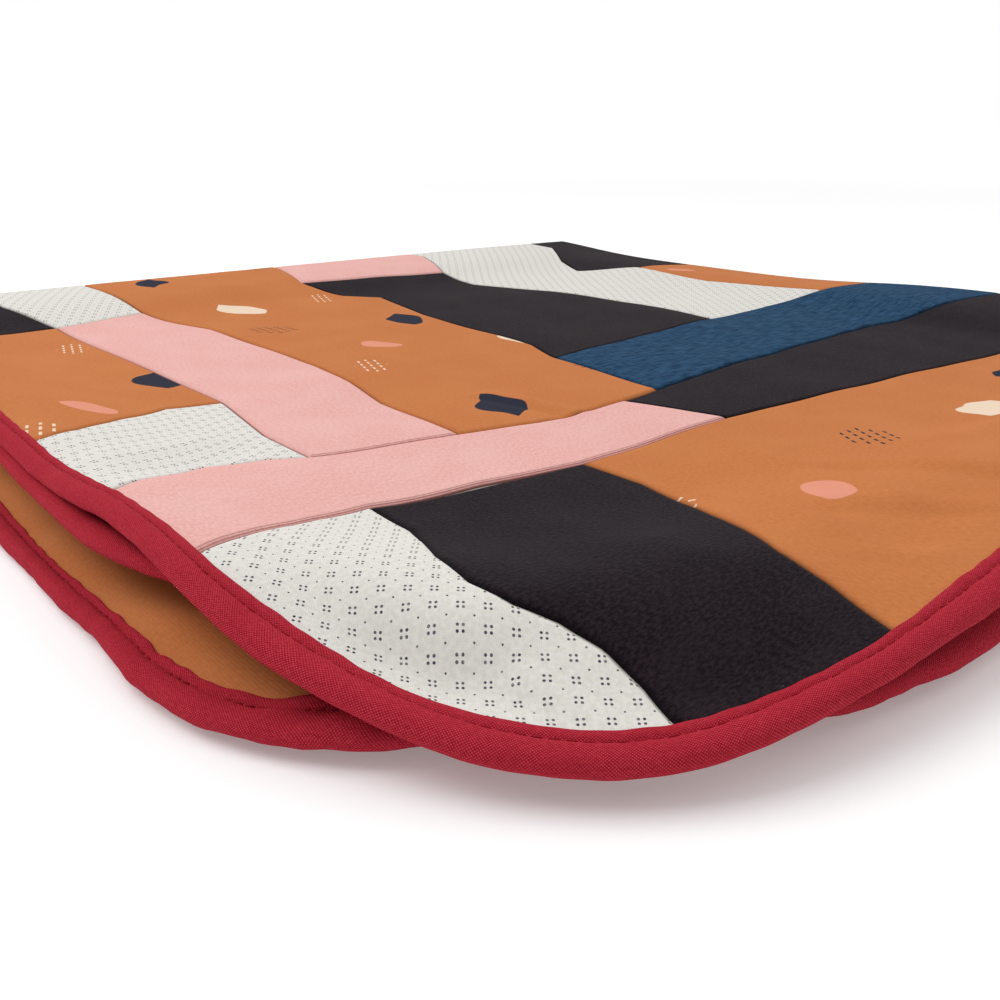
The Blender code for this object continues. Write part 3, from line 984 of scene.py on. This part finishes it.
class Look:
    """A material and short calls that add and link its nodes."""

    def __init__(self, name, roughness, sheen=0.0):
        self.material = bpy.data.materials.new(name)
        self.material.use_nodes = True
        self.tree = self.material.node_tree
        self.shader = self.tree.nodes["Principled BSDF"]
        self.shader.inputs["Roughness"].default_value = roughness
        self.shader.inputs["Specular IOR Level"].default_value = CLOTH_SPECULAR
        self.shader.inputs["Sheen Weight"].default_value = sheen
        self.shader.inputs["Sheen Roughness"].default_value = SHEEN_ROUGHNESS
        coordinates = self.node("ShaderNodeUVMap")
        coordinates.uv_map = "cloth"
        self.cloth = coordinates.outputs["UV"]
        parts = self.node("ShaderNodeSeparateXYZ", {0: self.cloth})
        self.x = parts.outputs["X"]
        self.y = parts.outputs["Y"]

    def put(self, socket, value):
        if isinstance(value, bpy.types.NodeSocket):
            self.tree.links.new(value, socket)
        else:
            socket.default_value = value

    def node(self, kind, inputs=None):
        """A new node. Its inputs are numbers, colours or other nodes' outputs."""
        made = self.tree.nodes.new(kind)
        for key, value in (inputs or {}).items():
            self.put(made.inputs[key], value)
        return made

    def math(self, operation, *values):
        made = self.node("ShaderNodeMath", dict(enumerate(values)))
        made.operation = operation
        return made.outputs[0]

    def vector(self, operation, *values):
        made = self.node("ShaderNodeVectorMath", dict(enumerate(values)))
        made.operation = operation
        return made

    def mix(self, share, first, second):
        made = self.node("ShaderNodeMix", {"Factor": share, 6: first, 7: second})
        made.data_type = "RGBA"
        return made.outputs[2]

    def ramp(self, value, start, end, low=0.0, high=1.0):
        """A smooth step from low at start to high at end."""
        limits = {"From Min": start, "From Max": end, "To Min": low, "To Max": high}
        made = self.node("ShaderNodeMapRange", {"Value": value, **limits})
        made.interpolation_type = "SMOOTHSTEP"
        return made.outputs["Result"]

    def noise(self, size, detail=2.0, stretch=(1.0, 1.0), roughness=0.5):
        """Noise whose features are about size metres wide."""
        place = self.vector("MULTIPLY", self.cloth, (*stretch, 1.0)).outputs[0]
        inputs = {"Vector": place, "Scale": 1.0 / size, "Detail": detail, "Roughness": roughness}
        return self.node("ShaderNodeTexNoise", inputs).outputs["Fac"]

    def space_noise(self, scale):
        """Noise through the object's own space, and the place there."""
        place = self.node("ShaderNodeTexCoord").outputs["Object"]
        return self.node("ShaderNodeTexNoise", {"Vector": place, "Scale": scale}).outputs["Fac"], place

    def wave(self, value, length):
        """A sine of a coordinate, 0 to 1."""
        turned = self.math("SINE", self.math("MULTIPLY", value, 2.0 * math.pi / length))
        return self.math("MULTIPLY_ADD", turned, 0.5, 0.5)

    def distance(self, name):
        made = self.node("ShaderNodeAttribute")
        made.attribute_name = name
        return made.outputs["Fac"]

    def finish(self, colour, height, depth):
        """Sets the colour, and a bump whose height is in shares of a depth in metres."""
        self.put(self.shader.inputs["Base Color"], colour)
        bump = self.node("ShaderNodeBump", {"Strength": 1.0, "Distance": depth, "Height": height})
        self.put(self.shader.inputs["Normal"], bump.outputs["Normal"])
        return self.material

    def tones(self, value, start, end, dark, light):
        """The two tones as on a screen, dark below start and light over end."""
        return self.mix(self.ramp(value, start, end), linear(*dark), linear(*light))

    def broad_tone(self, colour, size, detail, start, end, strength, other):
        """The colour with broad soft areas of another one, given as on a screen."""
        share = self.ramp(self.noise(size, detail), start, end, 0.0, strength)
        return self.mix(share, colour, linear(*other))

    def painted_seam_shade(self, colour, dark, reach, strength):
        """The colour with painted shade, darker towards the patch's border, where the seam's ditch lies."""
        near = self.ramp(self.distance("border"), 0.0, reach, strength, 0.0)
        return self.mix(near, colour, dark)


def knit_height(look, wale, course):
    """Fine knit: columns of a wale's width crossed by courses."""
    columns = look.wave(look.x, wale)
    rows = look.wave(look.math("ADD", look.y, look.math("MULTIPLY", columns, course * 0.5)), course)
    return look.math("MULTIPLY_ADD", rows, 0.4, look.math("MULTIPLY", columns, 0.6))


# The white cloth's print: rows of small four-dot clusters with a dot in the middle of each cell, in metres
DOT_PITCH = 0.0051
DOT_ROW = 0.0044
CLUSTER_HALF = 0.00053
CLUSTER_DOT = 0.00029
SINGLE_DOT = 0.00021
DOT_SOFTNESS = 0.00007


def within(look, distance, reach, softness):
    """1 where the distance is less than reach and 0 where it is more."""
    return look.ramp(distance, reach - softness, reach + softness, 1.0, 0.0)


def to_nearest(look, value, pitch, start=0.0):
    """Distance from a coordinate to the nearest of evenly spaced places."""
    steps = look.math("DIVIDE", look.math("SUBTRACT", value, start), pitch)
    over = look.math("SUBTRACT", steps, look.math("ROUND", steps))
    return look.math("MULTIPLY", look.math("ABSOLUTE", over), pitch)


def dot_share(look, along, across, radius):
    squares = look.math("ADD", look.math("POWER", along, 2.0), look.math("POWER", across, 2.0))
    return within(look, look.math("SQRT", squares), radius, DOT_SOFTNESS)


def dot_print(look):
    """1 on the print's dots and 0 between them."""
    along = to_nearest(look, look.x, DOT_PITCH)
    across = to_nearest(look, look.y, DOT_ROW)
    from_corner = (look.math("SUBTRACT", value, CLUSTER_HALF) for value in (along, across))
    cluster = dot_share(look, *from_corner, CLUSTER_DOT)
    along = to_nearest(look, look.x, DOT_PITCH, DOT_PITCH / 2)
    across = to_nearest(look, look.y, DOT_ROW, DOT_ROW / 2)
    return look.math("MAXIMUM", cluster, dot_share(look, along, across, SINGLE_DOT))


def white_cloth():
    look = Look("white_dotted_cotton", 0.85)
    tone = look.noise(0.0011, 3.0)
    ground = look.tones(tone, 0.3, 0.7, (222, 219, 212), (234, 231, 225))
    worn = look.ramp(look.noise(0.0006, 2.0), 0.30, 0.62, 0.72, 1.0)
    inked = look.math("MULTIPLY", dot_print(look), worn)
    colour = look.mix(inked, ground, linear(62, 56, 78))
    # Painted shade in the seam's ditch: greyer towards the patch's border
    colour = look.painted_seam_shade(colour, linear(120, 112, 106), 0.0011, 0.75)
    return look.finish(colour, knit_height(look, 0.00042, 0.00036), 0.00005)


def pink_cloth():
    look = Look("pink_jersey", 0.88)
    fleck = look.noise(0.0007, 3.0, (1.0, 0.5), 0.6)
    colour = look.tones(fleck, 0.34, 0.66, (228, 169, 163), (240, 188, 181))
    colour = look.broad_tone(colour, 0.022, 2.0, 0.35, 0.7, 0.22, (243, 200, 194))
    # Two thin lines 0.6 and 1.2 mm in from the ridged seam: painted shadow lines in reddish brown, which also
    # dip in the bump
    lines = []
    for place, share in ((0.00060, 0.60), (0.00120, 0.50)):
        away = look.math("ABSOLUTE", look.math("SUBTRACT", look.distance("ridge"), place))
        lines.append(look.ramp(away, 0.0, 0.00025, share, 0.0))
    ridge_grooves_and_shadows = look.math("ADD", *lines)
    colour = look.mix(ridge_grooves_and_shadows, colour, linear(168, 84, 82))
    # Painted shade in the seam's ditch: darker towards the patch's border
    colour = look.painted_seam_shade(colour, linear(130, 58, 58), 0.0006, 0.7)
    height = look.math("SUBTRACT", knit_height(look, 0.00055, 0.00048), look.math("MULTIPLY", ridge_grooves_and_shadows, 3.0))
    return look.finish(colour, height, 0.00006)


LINT_PITCH = 0.011
LINT_JITTER = 0.004


def charcoal_cloth():
    look = Look("charcoal_fleece", 0.98, 0.06)
    nap = look.noise(0.0007, 4.0, (1.0, 0.5), 0.65)
    colour = look.tones(nap, 0.32, 0.72, (15, 8, 13), (45, 34, 41))
    colour = look.broad_tone(colour, 0.012, 3.0, 0.4, 0.75, 0.30, (46, 37, 42))
    jitter = look.node("ShaderNodeTexNoise", {"Vector": look.cloth, "Scale": 1.0 / LINT_JITTER})
    warped = look.vector("MULTIPLY_ADD", jitter.outputs["Color"], (LINT_JITTER, LINT_JITTER, 0.0), look.cloth)
    specks = look.node("ShaderNodeTexVoronoi", {"Vector": warped.outputs[0], "Scale": 1.0 / LINT_PITCH})
    specks.feature = "F1"
    lint = look.ramp(specks.outputs["Distance"], 0.010, 0.024, 0.5, 0.0)
    colour = look.mix(lint, colour, linear(96, 84, 90))
    # Painted shade in the seam's ditch: darker towards the patch's border
    colour = look.painted_seam_shade(colour, linear(12, 9, 11), 0.0014, 0.8)
    return look.finish(colour, nap, 0.00030)


def blue_cloth():
    look = Look("blue_slub_knit", 0.9)
    slub = look.noise(0.0022, 4.0, (0.22, 1.6), 0.6)
    warp = look.noise(0.0018, 3.0, (1.5, 0.25), 0.6)
    both = look.math("MULTIPLY_ADD", slub, 0.6, look.math("MULTIPLY", warp, 0.4))
    colour = look.tones(both, 0.30, 0.70, (16, 42, 70), (52, 90, 122))
    # Painted shade in the seam's ditch: darker towards the patch's border
    colour = look.painted_seam_shade(colour, linear(8, 20, 34), 0.0014, 0.8)
    return look.finish(colour, look.math("ADD", both, knit_height(look, 0.0007, 0.0006)), 0.00008)


# The rust cloth's print, a generic one: a tile with a half drop. Places and half sizes are in metres
TILE_WIDTH = 0.150
TILE_HEIGHT = 0.136
MOTIFS = table(
    "kind colour x y turn length width",
    ("leaf", "cream", 0.030, 0.030, 25, 0.0160, 0.0085),
    ("leaf", "navy", 0.104, 0.046, -18, 0.0155, 0.0090),
    ("pebble", "pink", 0.064, 0.088, 35, 0.0095, 0.0060),
    ("dashes", "navy", 0.120, 0.106, 50, 0.0125, 0.0080),
    ("dashes", "cream", 0.028, 0.112, -20, 0.0110, 0.0065),
)
INKS = {"cream": (238, 214, 190), "navy": (46, 48, 62), "pink": (226, 150, 124)}
DASH_LENGTH = 0.0052
DASH_SPACING = 0.0034
DASH_HALF = 0.0015
DASH_HALF_WIDTH = 0.00042
DASH_SOFTNESS = 0.0001


def motif_share(look, row, x, y):
    """1 on one motif of the tile and 0 round it."""
    turn = math.radians(row["turn"])
    from_x = look.math("SUBTRACT", x, row["x"])
    from_y = look.math("SUBTRACT", y, row["y"])
    along = look.math("MULTIPLY_ADD", from_x, math.cos(turn), look.math("MULTIPLY", from_y, math.sin(turn)))
    across = look.math("MULTIPLY_ADD", from_y, math.cos(turn), look.math("MULTIPLY", from_x, -math.sin(turn)))
    part_along = look.math("POWER", look.math("DIVIDE", along, row["length"]), 2.0)
    across_share = look.math("DIVIDE", across, row["width"])
    if row["kind"] == "leaf":
        distance = look.math("ADD", part_along, look.math("ABSOLUTE", across_share))
        return within(look, distance, 1.0, 0.03)
    distance = look.math("ADD", part_along, look.math("POWER", across_share, 2.0))
    if row["kind"] == "pebble":
        return within(look, distance, 1.0, 0.05)
    rank = look.math("ROUND", look.math("DIVIDE", across, DASH_SPACING))
    staggered = look.math("MULTIPLY_ADD", rank, DASH_LENGTH * 0.5, along)
    dash_along = to_nearest(look, staggered, DASH_LENGTH)
    dash_across = to_nearest(look, across, DASH_SPACING)
    on_length = within(look, dash_along, DASH_HALF, DASH_SOFTNESS)
    on_width = within(look, dash_across, DASH_HALF_WIDTH, DASH_SOFTNESS)
    inside = within(look, distance, 1.0, 0.02)
    return look.math("MULTIPLY", inside, look.math("MULTIPLY", on_length, on_width))


def tile_place(look, x, y):
    """Where a place of the cloth lies in its tile of the print."""
    column = look.math("FLOOR", look.math("DIVIDE", x, TILE_WIDTH))
    tile_x = look.math("SUBTRACT", x, look.math("MULTIPLY", column, TILE_WIDTH))
    dropped = look.math("MULTIPLY_ADD", column, TILE_HEIGHT * 0.5, y)
    return tile_x, look.math("FLOORED_MODULO", dropped, TILE_HEIGHT)


def rust_cloth():
    look = Look("rust_printed_jersey", 0.86)
    tone = look.noise(0.0008, 3.0, (1.0, 0.5), 0.6)
    colour = look.tones(tone, 0.15, 0.85, (191, 114, 65), (205, 128, 77))
    colour = look.broad_tone(colour, 0.03, 2.0, 0.35, 0.7, 0.2, (214, 140, 88))
    wobble_x = look.math("MULTIPLY_ADD", look.noise(0.016, 0.0), 0.007, look.x)
    wobble_y = look.math("MULTIPLY_ADD", look.noise(0.013, 0.0), 0.007, look.y)
    uneven = tile_place(look, wobble_x, wobble_y)
    even = tile_place(look, look.x, look.y)
    for row in MOTIFS:
        place = even if row["kind"] == "dashes" else uneven
        share = motif_share(look, row, *place)
        colour = look.mix(share, colour, linear(*INKS[row["colour"]]))
    # Painted shade in the seam's ditch: darker towards the patch's border
    colour = look.painted_seam_shade(colour, linear(112, 60, 32), 0.0009, 0.6)
    return look.finish(colour, knit_height(look, 0.0007, 0.0006), 0.00004)


def backing_cloth():
    look = Look("backing_jersey", 0.88)
    tone = look.noise(0.001, 3.0)
    colour = look.tones(tone, 0.3, 0.7, (206, 198, 186), (222, 216, 205))
    return look.finish(colour, knit_height(look, 0.0006, 0.0005), 0.00006)


RIB_PITCH = 0.00062


def binding_cloth():
    look = Look("crimson_rib_knit", 0.88)
    lean = look.math("MULTIPLY_ADD", look.y, 1.0, look.x)
    cross = look.math("MULTIPLY_ADD", look.y, -0.9, look.x)
    mesh = look.math("MULTIPLY", look.wave(lean, RIB_PITCH), look.wave(cross, RIB_PITCH * 1.1))
    tone = look.noise(0.0007, 3.0, (0.6, 1.0), 0.6)
    mixed = look.math("MULTIPLY_ADD", mesh, 0.55, look.math("MULTIPLY", tone, 0.45))
    colour = look.tones(mixed, 0.18, 0.66, (154, 27, 43), (228, 70, 86))
    colour = look.broad_tone(colour, 0.009, 3.0, 0.4, 0.7, 0.25, (166, 32, 48))
    return look.finish(colour, mixed, 0.00022)


def stitch_thread():
    look = Look("crimson_thread", 0.6)
    tone, _ = look.space_noise(2500.0)
    colour = look.mix(tone, linear(128, 18, 32), linear(168, 36, 50))
    return look.finish(colour, tone, 0.00008)


def floor_paint():
    look = Look("studio_floor", 0.9)
    tone, place = look.space_noise(3.0)
    colour = look.mix(tone, (0.86, 0.86, 0.86, 1.0), (0.88, 0.88, 0.88, 1.0))
    away = look.vector("LENGTH", place).outputs["Value"]
    look.shader.inputs["Emission Color"].default_value = (1.0, 1.0, 1.0, 1.0)
    look.put(look.shader.inputs["Emission Strength"], look.ramp(away, 0.7, 4.0, NEAR_GLOW, FAR_GLOW))
    return look.finish(colour, tone, 0.0001)


# The pieces

backing = make_backing(backing_cloth())
patches = [
    make_patches("white", white_cloth()),
    make_patches("rust", rust_cloth()),
    make_patches("pink", pink_cloth()),
    make_patches("charcoal", charcoal_cloth()),
    make_patches("blue", blue_cloth()),
]
band = make_binding(binding_cloth())
stitches = make_stitches(stitch_thread())
for piece in (backing, *patches):
    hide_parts("blanket_cloth")
for piece in (band, stitches):
    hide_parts("edge_binding")


# The studio

FLOOR_HALF = 40.0
BACK_LIGHT = 1.0
FRONT_LIGHT = 0.34


def make_floor():
    lowest = CAD_BOX[0].z
    half = FLOOR_HALF
    mesh = bpy.data.meshes.new("studio_floor")
    corners = [(-half, -half, lowest), (half, -half, lowest), (half, half, lowest), (-half, half, lowest)]
    mesh.from_pydata(corners, [], [(0, 1, 2, 3)])
    mesh.materials.append(floor_paint())
    made = add_object("studio_floor", mesh)


def make_light(name, place, size, power):
    lamp = bpy.data.lights.new(name, "AREA")
    lamp.shape = "SQUARE"
    lamp.size = size
    lamp.energy = power
    made = add_object(name, lamp)
    made.location = place
    made.rotation_euler = (-Vector(place)).to_track_quat("-Z", "Y").to_euler()


def make_world():
    """White light from above and behind the pile, and less of it from the camera's side."""
    world = bpy.data.worlds.new("studio")
    world.use_nodes = True
    tree = world.node_tree
    direction = tree.nodes.new("ShaderNodeTexCoord")
    towards_back = tree.nodes.new("ShaderNodeVectorMath")
    towards_back.operation = "DOT_PRODUCT"
    heading = math.radians(CAMERA_HEADING)
    towards_back.inputs[1].default_value = (math.sin(heading), math.cos(heading), 0.0)
    level = tree.nodes.new("ShaderNodeMapRange")
    limits = {"From Min": -0.55, "From Max": 0.35, "To Min": FRONT_LIGHT, "To Max": BACK_LIGHT}
    for key, number in limits.items():
        level.inputs[key].default_value = number
    tree.links.new(direction.outputs["Generated"], towards_back.inputs[0])
    tree.links.new(towards_back.outputs["Value"], level.inputs["Value"])
    tree.links.new(level.outputs["Result"], tree.nodes["Background"].inputs["Strength"])
    tree.nodes["Background"].inputs["Color"].default_value = (1.0, 1.0, 1.0, 1.0)
    bpy.context.scene.world = world


def make_camera():
    data = bpy.data.cameras.new("camera")
    data.sensor_width = CAMERA_SENSOR
    data.lens = CAMERA_LENS
    data.clip_start = CAMERA_NEAR
    made = add_object("camera", data)
    heading = math.radians(CAMERA_HEADING)
    down = math.radians(CAMERA_DOWN)
    look = Vector((math.sin(heading) * math.cos(down), math.cos(heading) * math.cos(down), -math.sin(down)))
    made.location = Vector(np.array(CAMERA_PLACE) - ORIGIN)
    made.rotation_euler = look.to_track_quat("-Z", "Y").to_euler()
    bpy.context.scene.camera = made


make_floor()
make_world()
make_light("key", (-0.8, 0.5, 1.4), 1.2, 13.0)
make_light("fill", (0.9, -0.9, 1.2), 1.4, 3.0)
make_camera()
bpy.context.scene.view_settings.view_transform = "Standard"
